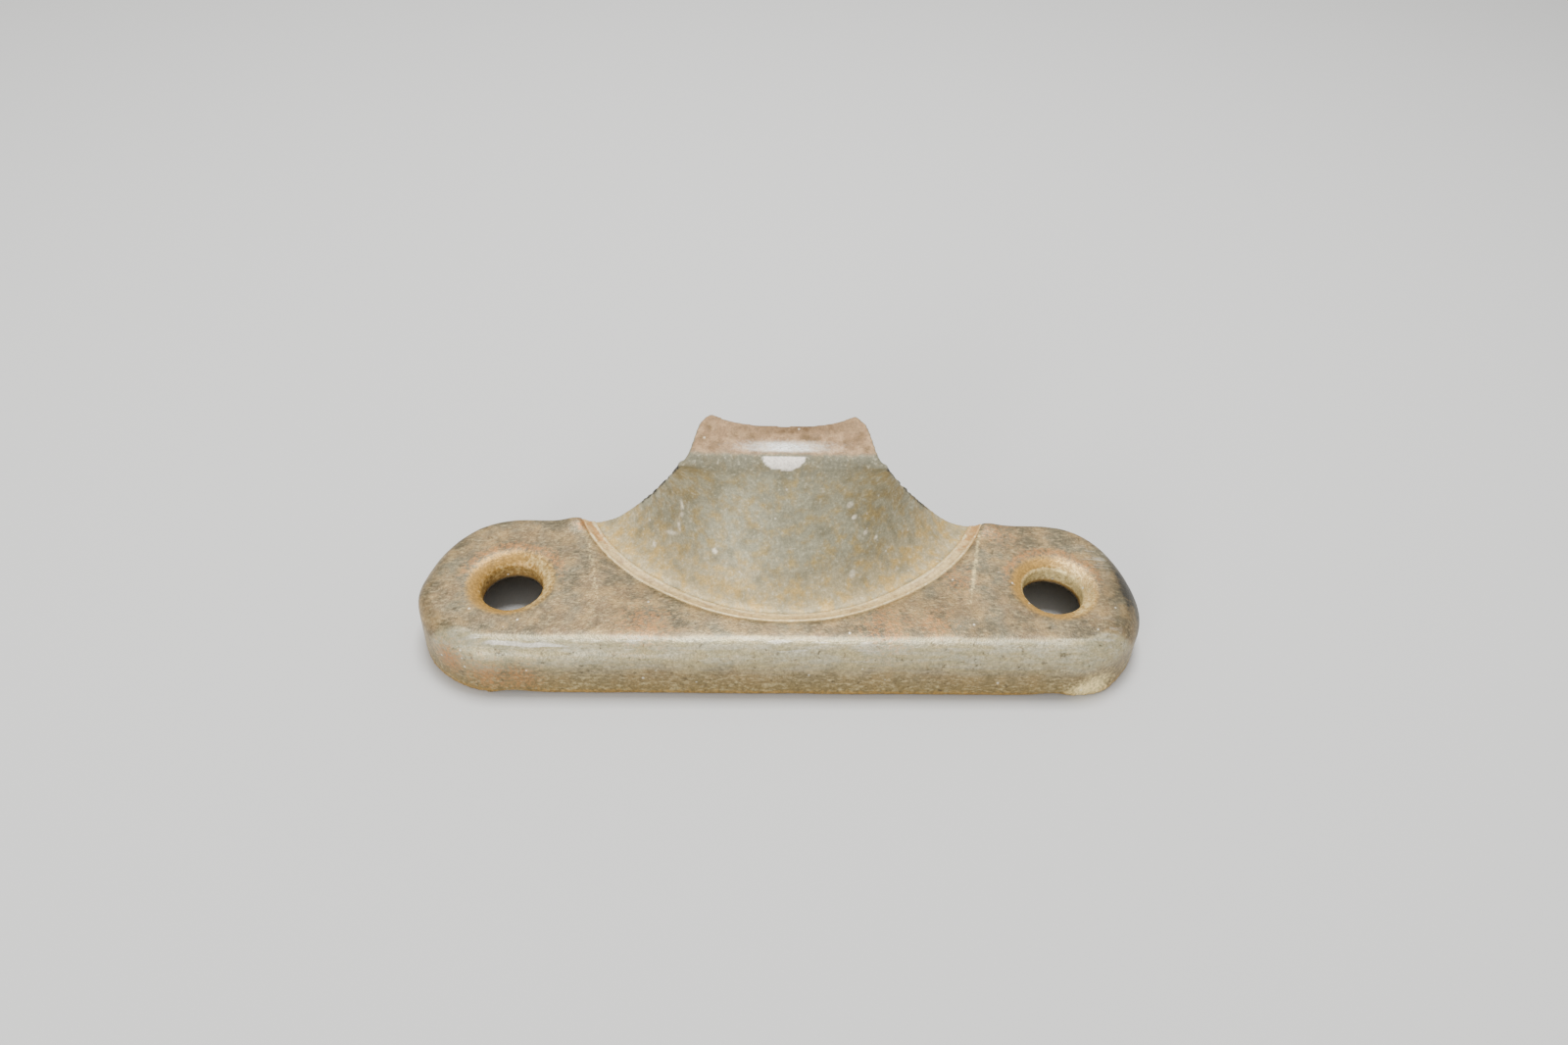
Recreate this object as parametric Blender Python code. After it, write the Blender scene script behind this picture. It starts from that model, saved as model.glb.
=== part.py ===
"""Cleat horn: a hollow bronze base shoe with a curved horn brazed into its back edge.

Metres, +Z up. The shoe stands on its rim at z = 0, its long side lies along X, its rounded front
faces -Y and its flat back +Y. The origin is under the middle of the fitting.
"""

import math

import bmesh
import bpy

INCH = 0.0254
MM = 0.001

# Base shoe
LENGTH = 4 * INCH
WIDTH = 1 * INCH
SHOE_HEIGHT = 8.7 * MM
PLATE_THICKNESS = 3.2 * MM
WALL_THICKNESS = 2.6 * MM
DRAFT = 0.4 * MM                    # the front and ends lean in by this much from rim to crown
CROWN_RADIUS_FRONT = 3.3 * MM
CROWN_RADIUS_BACK = 0.6 * MM
CAVITY_FILLET = 1.0 * MM
RELIEF_HEIGHT = 0.5 * MM            # the rim is lifted between the feet at both ends
RELIEF_HALF_LENGTH = 38.5 * MM
RELIEF_RAMP = 2.5 * MM

# Countersunk screw holes
HOLE_X = 37.9 * MM
THROAT_RADIUS = 4.2 * MM
SINK_RADIUS = 6.25 * MM
SINK_DEPTH = 1.3 * MM
SINK_POWER = 1.6                    # above 1, the sink's wall rolls out softly into the plate

# Joint: the horn's foot and the shoe's cut-out are arcs about one centre behind the shoe
ARC_CENTRE_Y = 25.35 * MM
FOOT_RADIUS = 30.6 * MM
CUTOUT_RADIUS = 32.1 * MM
RAIL_HEIGHT = 4.7 * MM              # what is left of the back wall under the horn's heels
GAP = 0.3 * MM                      # clearance between pieces that touch

# Horn
HEEL_Y = WIDTH / 2
FOOT_Z = 8.15 * MM                  # the face starts a little below the plate
FLARE_HEIGHT = 17.3 * MM
FLARE_REACH = 10.25 * MM             # how far back the middle of the face leans
FLARE_NARROWING = 14.3 * MM         # how far each side edge closes in
NARROWING_POWER = 0.9
FLARE_POWER = 1.8                   # height grows as this power of the distance leaned back
EDGE_FORWARD = 7.6 * MM             # how far each side edge comes forward
EDGE_POWER = 3.5
RIDGE_RADIUS = 2.6 * MM
RIDGE_NARROWING = 1.4 * MM          # each side, over the ridge
LIP_SLOPE = math.radians(13)
LIP_TAPER = 1.4 * MM                # each side, from the ridge to the tip
TIP_HOLLOW = 2.0 * MM               # depth of the hollow in the lip's back edge
FOOT_THICKNESS = 3.0 * MM
LIP_THICKNESS = 2.2 * MM

# Facets
END_SEGMENTS = 28
CROWN_SEGMENTS = 5
FILLET_SEGMENTS = 3
HOLE_SEGMENTS = 40
SINK_SEGMENTS = 4
CUTOUT_SEGMENTS = 120
BRAZE_SEGMENTS = 40
FLARE_ROWS = 14
RIDGE_ROWS = 5
LIP_ROWS = 3
HORN_COLUMNS = 28
OVERCUT = 2 * MM


def clear_scene():
    for item in list(bpy.data.objects):
        bpy.data.objects.remove(item, do_unlink=True)


def metal(name, colour, metallic, roughness):
    material = bpy.data.materials.new(name)
    material.use_nodes = True
    shader = material.node_tree.nodes["Principled BSDF"]
    shader.inputs["Base Color"].default_value = (*colour, 1.0)
    shader.inputs["Metallic"].default_value = metallic
    shader.inputs["Roughness"].default_value = roughness
    return material


def add_object(name, shape, material=None):
    mesh = bpy.data.meshes.new(name)
    bmesh.ops.recalc_face_normals(shape, faces=shape.faces)
    shape.to_mesh(mesh)
    shape.free()
    mesh.shade_smooth()
    mesh.set_sharp_from_angle(angle=math.radians(35))
    if material:
        mesh.materials.append(material)
    piece = bpy.data.objects.new(name, mesh)
    bpy.context.scene.collection.objects.link(piece)
    return piece


def cut(piece, name, shape):
    """Take a shape away from a piece with a live Boolean."""
    cutter = add_object(name, shape)
    cutter.hide_render = True
    cutter.display_type = "WIRE"
    boolean = piece.modifiers.new(name, "BOOLEAN")
    boolean.operation = "DIFFERENCE"
    boolean.solver = "EXACT"
    boolean.object = cutter


def loft(rings):
    """Closed solid through rings of equally many points, capped at both ends."""
    shape = bmesh.new()
    loops = [[shape.verts.new(point) for point in ring] for ring in rings]
    for lower, upper in zip(loops, loops[1:]):
        for i in range(len(lower)):
            shape.faces.new((lower[i - 1], lower[i], upper[i], upper[i - 1]))
    shape.faces.new(loops[0])
    shape.faces.new(loops[-1])
    return shape


def facing_back(angle):
    """0 along the front and round the ends, rising to 1 along the flat back."""
    return max(0, math.sin(angle)) ** 2


def stadium_ring(height, inset):
    """The shoe's outline at height(angle), moved inward by inset(angle) beside the wall's draft."""
    points = []
    for end in (0, 1):
        centre_x = (LENGTH - WIDTH) / 2 * (1 - 2 * end)
        for step in range(END_SEGMENTS + 1):
            angle = math.pi * (step / END_SEGMENTS - 0.5 + end)
            z = height(angle)
            lean = DRAFT * max(z, 0) / SHOE_HEIGHT * (1 - facing_back(angle))
            radius = WIDTH / 2 - inset(angle) - lean
            points.append((centre_x + radius * math.cos(angle), radius * math.sin(angle), z))
    return points


def crown_radius(angle):
    """Edge rounding: full along the front and round the ends, nearly sharp along the back."""
    return CROWN_RADIUS_FRONT + (CROWN_RADIUS_BACK - CROWN_RADIUS_FRONT) * facing_back(angle)


def shoe_block():
    rings = [stadium_ring(lambda angle: 0, lambda angle: 0)]
    for step in range(CROWN_SEGMENTS + 1):
        turn = math.pi / 2 * step / CROWN_SEGMENTS
        rings.append(stadium_ring(
            lambda angle: SHOE_HEIGHT - crown_radius(angle) * (1 - math.sin(turn)),
            lambda angle: crown_radius(angle) * (1 - math.cos(turn)),
        ))
    return loft(rings)


def shoe_cavity():
    ceiling = SHOE_HEIGHT - PLATE_THICKNESS
    rings = [stadium_ring(lambda angle: -OVERCUT, lambda angle: WALL_THICKNESS)]
    for step in range(FILLET_SEGMENTS + 1):
        turn = math.pi / 2 * step / FILLET_SEGMENTS
        rings.append(stadium_ring(
            lambda angle: ceiling - CAVITY_FILLET * (1 - math.sin(turn)),
            lambda angle: WALL_THICKNESS + CAVITY_FILLET * (1 - math.cos(turn)),
        ))
    return loft(rings)


def foot_relief():
    """Shallow prism right through the shoe that leaves a foot at each end."""
    half = RELIEF_HALF_LENGTH
    profile = [
        (-half - RELIEF_RAMP, -OVERCUT), (-half - RELIEF_RAMP, 0), (-half, RELIEF_HEIGHT),
        (half, RELIEF_HEIGHT), (half + RELIEF_RAMP, 0), (half + RELIEF_RAMP, -OVERCUT),
    ]
    return loft([[(x, y, z) for x, z in profile] for y in (-WIDTH, WIDTH)])


def cutout_disc():
    """The disc whose front arc is the cut-out for the horn."""
    rings = []
    for z in (RAIL_HEIGHT, SHOE_HEIGHT + OVERCUT):
        turns = [math.tau * step / CUTOUT_SEGMENTS for step in range(CUTOUT_SEGMENTS)]
        rings.append([
            (CUTOUT_RADIUS * math.sin(turn), ARC_CENTRE_Y - CUTOUT_RADIUS * math.cos(turn), z)
            for turn in turns
        ])
    return loft(rings)


def screw_hole(centre_x):
    """Straight throat that opens into a soft countersink."""
    profile = [(THROAT_RADIUS, SHOE_HEIGHT - PLATE_THICKNESS - OVERCUT)]
    for step in range(SINK_SEGMENTS + 1):
        out = step / SINK_SEGMENTS
        depth = SINK_DEPTH * (1 - out) ** SINK_POWER
        profile.append((THROAT_RADIUS + (SINK_RADIUS - THROAT_RADIUS) * out, SHOE_HEIGHT - depth))
    profile.append((SINK_RADIUS, SHOE_HEIGHT + OVERCUT))
    turns = [math.tau * step / HOLE_SEGMENTS for step in range(HOLE_SEGMENTS)]
    return loft([
        [(centre_x + radius * math.cos(turn), radius * math.sin(turn), z) for turn in turns]
        for radius, z in profile
    ])


def make_base_shoe():
    shoe = add_object("base_shoe", shoe_block(), metal("shoe_bronze", (0.30, 0.25, 0.18), 0.5, 0.5))
    cut(shoe, "cavity_cutter", shoe_cavity())
    cut(shoe, "relief_cutter", foot_relief())
    cut(shoe, "cutout_cutter", cutout_disc())
    cut(shoe, "left_hole_cutter", screw_hole(-HOLE_X))
    cut(shoe, "right_hole_cutter", screw_hole(HOLE_X))


def horn_row(half_width, middle_y, edge_y):
    """One level of the horn's face: a circular arc through its middle and its two edges."""
    bulge = edge_y - middle_y
    radius = (half_width ** 2 + bulge ** 2) / (2 * bulge)
    half_turn = math.asin(half_width / radius)
    row = []
    for column in range(HORN_COLUMNS + 1):
        turn = half_turn * (2 * column / HORN_COLUMNS - 1)
        row.append((radius * math.sin(turn), middle_y + radius * (1 - math.cos(turn))))
    return row


def horn_face():
    """Rows of points over the horn's outer face, each with the plate's thickness there."""
    foot_middle = ARC_CENTRE_Y - FOOT_RADIUS
    foot_half = math.sqrt(FOOT_RADIUS ** 2 - (ARC_CENTRE_Y - HEEL_Y) ** 2)
    rows = []
    for step in range(FLARE_ROWS + 1):
        lean = step / FLARE_ROWS
        plan = horn_row(
            foot_half - FLARE_NARROWING * lean ** NARROWING_POWER,
            foot_middle + FLARE_REACH * lean,
            HEEL_Y - EDGE_FORWARD * lean ** EDGE_POWER,
        )
        z = FOOT_Z + FLARE_HEIGHT * lean ** FLARE_POWER
        thickness = FOOT_THICKNESS + (LIP_THICKNESS - FOOT_THICKNESS) * lean
        rows.append(([(x, y, z) for x, y in plan], thickness))

    steepest = math.atan(FLARE_POWER * FLARE_HEIGHT / FLARE_REACH)
    ridge_rise = RIDGE_RADIUS * (math.cos(LIP_SLOPE) - math.cos(steepest))
    top = rows[-1][0]
    for step in range(1, RIDGE_ROWS + 1):
        slope = steepest + (LIP_SLOPE - steepest) * step / RIDGE_ROWS
        back = RIDGE_RADIUS * (math.sin(steepest) - math.sin(slope))
        up = RIDGE_RADIUS * (math.cos(slope) - math.cos(steepest))
        narrow = 1 - RIDGE_NARROWING / top[-1][0] * up / ridge_rise
        rows.append(([(x * narrow, y + back, z + up) for x, y, z in top], LIP_THICKNESS))

    ridge = rows[-1][0]
    for step in range(1, LIP_ROWS + 1):
        narrow = 1 - (RIDGE_NARROWING + LIP_TAPER * step / LIP_ROWS) / top[-1][0]
        row = []
        for (x, y, z), (wide_x, _, _) in zip(ridge, top):
            across = wide_x / top[-1][0]
            tip_y = HEEL_Y - TIP_HOLLOW * (1 - across ** 2)
            back = (tip_y - y) * step / LIP_ROWS
            row.append((wide_x * narrow, y + back, z + back * math.tan(LIP_SLOPE)))
        rows.append((row, LIP_THICKNESS))
    return rows


def horn_plate():
    """The face's sheet given its thickness on the hidden side and closed round its edge."""
    shape = bmesh.new()
    rows = horn_face()
    face = [[shape.verts.new(point) for point in points] for points, _ in rows]
    for lower, upper in zip(face, face[1:]):
        for i in range(HORN_COLUMNS):
            shape.faces.new((lower[i], lower[i + 1], upper[i + 1], upper[i]))
    shape.normal_update()
    hidden = []
    for vertices, (_, thickness) in zip(face, rows):
        points = [vertex.co - vertex.normal * thickness for vertex in vertices]
        for point in points:
            point.y = min(point.y, HEEL_Y)
        hidden.append([shape.verts.new(point) for point in points])
    for lower, upper in zip(hidden, hidden[1:]):
        for i in range(HORN_COLUMNS):
            shape.faces.new((upper[i], upper[i + 1], lower[i + 1], lower[i]))

    def border(sheet):
        left = [row[0] for row in sheet[-2:0:-1]]
        right = [row[-1] for row in sheet[1:-1]]
        return sheet[0] + right + sheet[-1][::-1] + left

    outer, inner = border(face), border(hidden)
    for i in range(len(outer)):
        shape.faces.new((outer[i - 1], outer[i], inner[i], inner[i - 1]))
    return shape


def braze_bead():
    """Bead along the arc, its surface falling from the plate down to the horn's foot."""
    inner = FOOT_RADIUS + GAP
    outer = CUTOUT_RADIUS - GAP
    floor = SHOE_HEIGHT - PLATE_THICKNESS
    section = [
        (inner, floor), (outer, floor), (outer, SHOE_HEIGHT - 0.1 * MM),
        ((inner + outer) / 2, (SHOE_HEIGHT + FOOT_Z) / 2 - 0.1 * MM), (inner, FOOT_Z),
    ]
    rings = []
    for step in range(BRAZE_SEGMENTS + 1):
        along = 2 * step / BRAZE_SEGMENTS - 1
        ring = []
        for radius, z in section:
            turn = along * math.acos((ARC_CENTRE_Y - HEEL_Y) / radius)
            ring.append((radius * math.sin(turn), ARC_CENTRE_Y - radius * math.cos(turn), z))
        rings.append(ring)
    return loft(rings)


clear_scene()
make_base_shoe()
add_object("horn", horn_plate(), metal("horn_bronze", (0.26, 0.25, 0.20), 0.5, 0.5))
add_object("braze_fillet", braze_bead(), metal("braze_brass", (0.42, 0.32, 0.19), 0.6, 0.55))
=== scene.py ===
import math

import bmesh
import bpy
from mathutils import Matrix, Vector, noise


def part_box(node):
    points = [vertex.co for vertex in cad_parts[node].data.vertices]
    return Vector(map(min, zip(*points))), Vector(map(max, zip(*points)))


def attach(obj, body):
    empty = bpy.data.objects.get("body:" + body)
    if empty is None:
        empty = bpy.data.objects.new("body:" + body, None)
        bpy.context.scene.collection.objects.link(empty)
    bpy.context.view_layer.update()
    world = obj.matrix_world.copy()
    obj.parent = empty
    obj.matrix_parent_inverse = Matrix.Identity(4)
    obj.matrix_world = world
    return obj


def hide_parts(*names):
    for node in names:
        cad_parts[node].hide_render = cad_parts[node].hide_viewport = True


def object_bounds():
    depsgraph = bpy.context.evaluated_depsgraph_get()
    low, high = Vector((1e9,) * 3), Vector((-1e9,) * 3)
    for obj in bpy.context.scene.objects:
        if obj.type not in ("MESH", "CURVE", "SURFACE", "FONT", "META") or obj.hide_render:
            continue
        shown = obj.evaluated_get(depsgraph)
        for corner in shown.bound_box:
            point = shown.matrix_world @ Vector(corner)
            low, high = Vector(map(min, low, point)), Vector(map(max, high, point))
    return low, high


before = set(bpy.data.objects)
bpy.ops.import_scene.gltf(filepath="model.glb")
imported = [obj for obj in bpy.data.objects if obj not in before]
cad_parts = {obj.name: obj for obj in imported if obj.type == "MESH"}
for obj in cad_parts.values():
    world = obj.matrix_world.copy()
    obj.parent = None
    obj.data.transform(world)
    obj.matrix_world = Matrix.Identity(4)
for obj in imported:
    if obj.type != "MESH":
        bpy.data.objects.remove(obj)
cad_low, cad_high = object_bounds()


# ----------------------------------------------------------------------------------------------
# Base shoe: a hollow sand-cast bronze shoe with half-round ends, open underneath. The front and
# the ends roll over into the wall, the back is left nearly square, and each end stands on a foot.
# ----------------------------------------------------------------------------------------------
MM = 0.001
shoe_low, shoe_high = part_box("base_shoe")
shoe_top = shoe_high.z
half_width = (shoe_high.y - shoe_low.y) / 2
half_straight = (shoe_high.x - shoe_low.x) / 2 - half_width
back_y = shoe_high.y
plate_thickness = 3.2 * MM
wall_thickness = 2.6 * MM
wall_draft = 0.4 * MM
rail_height = 4.7 * MM
hole_x = 37.9 * MM
throat_radius = 4.2 * MM
arc_centre = Vector((0, 25.35 * MM, 0))
cutout_radius = 32.1 * MM
front_crown = 3.3 * MM              # rounding between plate and wall, in front
back_crown = 0.6 * MM               # and along the back
left_sink_depth = 1.35 * MM
left_sink_width = 2.15 * MM
right_sink_depth = 0.8 * MM
right_sink_radius = 6.3 * MM
pad_top_radius = 6.6 * MM           # pads under the plate, round the two holes
pad_foot_radius = 5.9 * MM
pad_depth = 1.4 * MM
over = 2 * MM                       # how far a cutting shape stands out of what it cuts
outline_segments = 240
casting_grain = 0.38 * MM           # size of the mesh's faces


def spine(point):
    """Nearest point of the line between the centres of the shoe's two round ends."""
    return Vector((max(-half_straight, min(half_straight, point.x)), 0, 0))


def outward(point):
    """Level direction from the spine out to a point."""
    return (Vector((point.x, point.y, 0)) - spine(point)).normalized()


def bump(value, centre, reach):
    """1 at centre, falling smoothly to almost nothing a reach or two away."""
    return math.exp(-((value - centre) / reach) ** 2)


def ramp(value, start, end):
    """0 before start, 1 after end, with a smooth rise between them."""
    part = max(0.0, min(1.0, (value - start) / (end - start)))
    return part * part * (3 - 2 * part)


def crown_radius(out):
    """Rounding between plate and wall for the part of the outline that faces out."""
    back = max(0.0, out.y) ** 2
    radius = front_crown + (back_crown - front_crown) * back
    around = math.degrees(math.atan2(out.y, out.x)) % 360
    # crisper on the left end, and worn rounder on the right
    radius -= 1.7 * MM * bump(around, 196, 22) * (1 - back)
    radius += 1.2 * MM * bump((around + 180) % 360, 190, 38) * (1 - back)
    return radius


def grow_ring(shape, edges, height, inset):
    """Extrude a ring of edges to a new level, drawn in from the shoe's outline by inset."""
    grown = bmesh.ops.extrude_edge_only(shape, edges=edges)["geom"]
    for vert in grown:
        if isinstance(vert, bmesh.types.BMVert):
            out = outward(vert.co)
            level = height(out)
            lean = wall_draft * max(level, 0) / shoe_top * (1 - max(0.0, out.y) ** 2)
            vert.co = spine(vert.co) + out * (half_width - inset(out) - lean)
            vert.co.z = level
    return [edge for edge in grown if isinstance(edge, bmesh.types.BMEdge) and edge.is_boundary]


def stadium_ring(shape, level, inset):
    """A first ring of edges on the shoe's outline."""
    turn = Matrix.Rotation(math.pi / outline_segments, 4, "Z")
    verts = bmesh.ops.create_circle(
        shape, segments=outline_segments, radius=half_width - inset, matrix=turn)["verts"]
    for vert in verts:
        vert.co.x += math.copysign(half_straight, vert.co.x)
        vert.co.z = level
    return shape.edges[:]


def close_up(shape):
    """Cap every open ring and point all faces outward."""
    bmesh.ops.remove_doubles(shape, verts=shape.verts, dist=0.001 * MM)
    bmesh.ops.holes_fill(shape, edges=[e for e in shape.edges if e.is_boundary], sides=0)
    bmesh.ops.recalc_face_normals(shape, faces=shape.faces)
    return shape


def shoe_block():
    """The solid outside: an upright wall, then a quarter turn over into the plate."""
    shape = bmesh.new()
    ring = stadium_ring(shape, 0, 0)
    steps = 10
    for step in range(steps + 1):
        turn = math.pi / 2 * step / steps
        ring = grow_ring(
            shape, ring,
            lambda out: shoe_top - crown_radius(out) * (1 - math.sin(turn)),
            lambda out: crown_radius(out) * (1 - math.cos(turn)))
    return close_up(shape)


def shoe_cavity():
    """The hollow inside, open below, with a filleted ceiling."""
    shape = bmesh.new()
    ceiling = shoe_top - plate_thickness
    fillet = 1.2 * MM
    ring = stadium_ring(shape, -over, wall_thickness)
    for turn in (0, math.pi / 6, math.pi / 3, math.pi / 2):
        ring = grow_ring(
            shape, ring,
            lambda out: ceiling - fillet * (1 - math.sin(turn)),
            lambda out: wall_thickness + fillet * (1 - math.cos(turn)))
    return close_up(shape)


def cutout_disc():
    """Cuts the arc that the horn fills, down to the rail that is left along the back."""
    shape = bmesh.new()
    depth = shoe_top + over - rail_height
    place = Matrix.Translation(arc_centre + Vector((0, 0, rail_height + depth / 2)))
    bmesh.ops.create_cone(
        shape, cap_ends=True, segments=240, radius1=cutout_radius, radius2=cutout_radius,
        depth=depth, matrix=place)
    return shape


def turned(profile, centre_x):
    """Shape turned about an upright line: profile is (radius, height) points from axis to axis."""
    shape = bmesh.new()
    verts = [shape.verts.new((centre_x + radius, 0, z)) for radius, z in profile]
    edges = [shape.edges.new(pair) for pair in zip(verts, verts[1:])]
    bmesh.ops.spin(
        shape, geom=verts + edges, cent=(centre_x, 0, 0), axis=(0, 0, 1), dvec=(0, 0, 0),
        angle=math.tau, steps=72, use_merge=True, use_duplicate=False)
    return close_up(shape)


def boss(side):
    """Pad under the plate round a screw hole, so that the hole's wall is thicker there."""
    pad_middle = shoe_top - plate_thickness
    shape = bmesh.new()
    bmesh.ops.create_cone(
        shape, cap_ends=True, segments=72, radius1=pad_foot_radius, radius2=pad_top_radius,
        depth=pad_depth, matrix=Matrix.Translation((side * hole_x, 0, pad_middle)))
    return shape


def left_hole():
    """Dished sink that rolls out softly into the plate."""
    profile = [(0, over), (throat_radius, over)]
    for step in range(9):
        out = step / 8
        depth = left_sink_depth * (1 - out) ** 1.7
        profile.append((throat_radius + left_sink_width * out, shoe_top - depth))
    rim = throat_radius + left_sink_width + 0.35 * MM
    profile += [(rim, shoe_top + 0.02 * MM), (rim, shoe_top + over), (0, shoe_top + over)]
    return turned(profile, -hole_x)


def right_hole():
    """Shallow cone that breaks sharply into a straight throat."""
    profile = [
        (0, over), (throat_radius, over),
        (throat_radius + 0.05 * MM, shoe_top - right_sink_depth - 0.15 * MM),
        (throat_radius + 0.25 * MM, shoe_top - right_sink_depth),
        (right_sink_radius - 0.5 * MM, shoe_top - 0.14 * MM),
        (right_sink_radius, shoe_top), (right_sink_radius, shoe_top + over), (0, shoe_top + over),
    ]
    return turned(profile, hole_x)


def new_piece(name, shape):
    """Make an object of a finished bmesh, at the origin."""
    mesh = bpy.data.meshes.new(name)
    shape.to_mesh(mesh)
    shape.free()
    piece = bpy.data.objects.new(name, mesh)
    bpy.context.scene.collection.objects.link(piece)
    return piece


def cast_in_one(piece, grain, steps=()):
    """Add and cut shapes in turn, then rebuild the skin in even faces with soft edges."""
    tools = [(operation, new_piece(operation.lower(), shape)) for operation, shape in steps]
    for operation, tool in tools:
        boolean = piece.modifiers.new(tool.name, "BOOLEAN")
        boolean.operation = operation
        boolean.solver = "EXACT"
        boolean.object = tool
    remesh = piece.modifiers.new("skin", "REMESH")
    remesh.mode = "VOXEL"
    remesh.voxel_size = grain
    settled = bpy.data.meshes.new_from_object(
        piece.evaluated_get(bpy.context.evaluated_depsgraph_get()))
    piece.modifiers.clear()
    piece.data = settled
    for _, tool in tools:
        bpy.data.objects.remove(tool)


def relax(piece, rounds):
    """Soften the rebuilt skin's edges and steps."""
    shape = bmesh.new()
    shape.from_mesh(piece.data)
    for _ in range(rounds):
        bmesh.ops.smooth_vert(
            shape, verts=shape.verts, factor=0.5, use_axis_x=True, use_axis_y=True, use_axis_z=True)
    shape.to_mesh(piece.data)
    shape.free()


def work(piece, push):
    """Move each point by push(point, normal), as wear would, and keep it in the CAD's box."""
    mesh = piece.data
    moved = [vert.co + push(vert.co, vert.normal) for vert in mesh.vertices]
    for vert, place in zip(mesh.vertices, moved):
        vert.co = [
            max(low, min(high, part)) for low, part, high in zip(cad_low, place, cad_high)]
    mesh.update()


def roll(point, size, seed=0.0):
    """Smooth noise from -1 to 1 whose waves are about size long."""
    return noise.noise(point / size + Vector((seed, seed * 1.7, seed * 0.3)))


def drawn_in(x):
    """How far the joint's line is drawn back from a true arc, halfway along each side."""
    return 0.6 * MM * bump(abs(x), 18 * MM, 7.5 * MM)


def wash_line_x(y):
    """Half-width at y of the shallow facet that runs forward from each end of the joint."""
    return 29.3 * MM - 0.235 * (back_y - y)


def wash_drop(point):
    """How far the plate falls away towards the joint, from a fold along the facet line."""
    inside = max(0.0, wash_line_x(point.y) - abs(point.x)) / (5 * MM)
    return 0.5 * MM * math.tanh(1.3 * inside) * ramp(point.y, -7 * MM, 2 * MM)


def shoe_wear(point, normal):
    """What years of use did to the casting, all round."""
    out = outward(point)
    around = math.degrees(math.atan2(out.y, out.x)) % 360
    side = abs(point.x)
    low = 1 - ramp(point.z, 0, 2.6 * MM)
    move = Vector()
    # rim: lifted between the feet, most of all just beside them
    lift = 0.18 * MM * (1 - ramp(side, 37 * MM, 40.5 * MM))
    lift += 0.42 * MM * bump(side, 36.6 * MM, 2.6 * MM)
    move.z += lift * low
    # right front foot: squeezed out a little at the rim
    move += out * (0.55 * MM * bump(around, 296, 13) * low)
    # plate: falls towards the joint, and is peened up at the two back corners beside it
    top = ramp(point.z, shoe_top - 3.4 * MM, shoe_top - 1 * MM) * ramp(normal.z, 0.2, 0.8)
    move.z -= wash_drop(point) * top
    corner = bump(side, 30.4 * MM, 2.0 * MM) * ramp(point.y, 9.2 * MM, back_y)
    peening = (0.75 if point.x < 0 else 0.5) * MM
    move.z += peening * corner * ramp(point.z, 6.5 * MM, shoe_top)
    # cut-out: its edge follows the joint's line
    away = (point - arc_centre).xy.length - cutout_radius
    move.y += drawn_in(point.x) * (1 - ramp(away, 0, 4 * MM)) * ramp(point.z, 3 * MM, 6 * MM)
    # right end: knocked down a little
    move.z -= 0.35 * MM * ramp(point.x, 43 * MM, 51 * MM) * ramp(point.z, 4 * MM, shoe_top)
    # whole skin: slow waves left by the mould
    slow = 0.05 * MM * roll(point, 9 * MM) + 0.03 * MM * roll(point, 3.2 * MM, 4.1)
    fine = 0.018 * MM * roll(point, 1.3 * MM, 7.7)
    return move + normal * (slow + fine)


def near(point, x, y, z, reach):
    """1 at a spot, fading to almost nothing two reaches away, all given in millimetres."""
    return bump((point - Vector((x, y, z)) * MM).length, 0, reach * MM)


def mark(piece, name, share):
    """Keep share(point, normal), from 0 to 1, on every point for the material to read."""
    layer = piece.data.attributes.new(name, "FLOAT", "POINT")
    for vert, cell in zip(piece.data.vertices, layer.data):
        cell.value = max(0.0, min(1.0, share(vert.co, vert.normal)))


def hole_gap(point):
    """Distance from the nearer screw hole's axis."""
    return (Vector((abs(point.x), point.y)) - Vector((hole_x, 0))).length


def shoe_gold(point, normal):
    """Bare yellow metal: the screw seats, and the rim that rubs on the deck."""
    seat = (1 - ramp(hole_gap(point), 5.4 * MM, 6.7 * MM)) * ramp(point.z, 5.0 * MM, 5.6 * MM)
    rim = 0.7 * (1 - ramp(point.z, 0.5 * MM, 1.5 * MM))
    return max(seat, rim)


def shoe_highlights_and_chip(point, normal):
    """Painted highlights on the right of each seat, on the throats and along the plate's folds, and
    a real pale chip.
    """
    seat = 0.5 * bump(hole_gap(point), 5.0 * MM, 0.9 * MM) * ramp(point.z, 7 * MM, 7.6 * MM)
    seat *= ramp(point.x - math.copysign(hole_x, point.x), -1 * MM, 4 * MM)
    throat = (1 - ramp(hole_gap(point), 4.3 * MM, 4.7 * MM)) * ramp(point.z, 5.4 * MM, 6.1 * MM)
    throat *= 0.9 if point.x > 0 else 0.3
    chip = 1.2 * near(point, 42.6, -11.4, 1.6, 2.2) + near(point, 40.3, -12.3, 1.0, 1.6)
    fold = bump(abs(point.x), wash_line_x(point.y), 0.3 * MM) * ramp(normal.z, 0.6, 0.9)
    fold *= ramp(point.y, -5 * MM, -1 * MM) * (0.6 if point.x > 0 else 0.3)
    return max(seat, throat, 0.8 * chip, fold)


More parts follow.
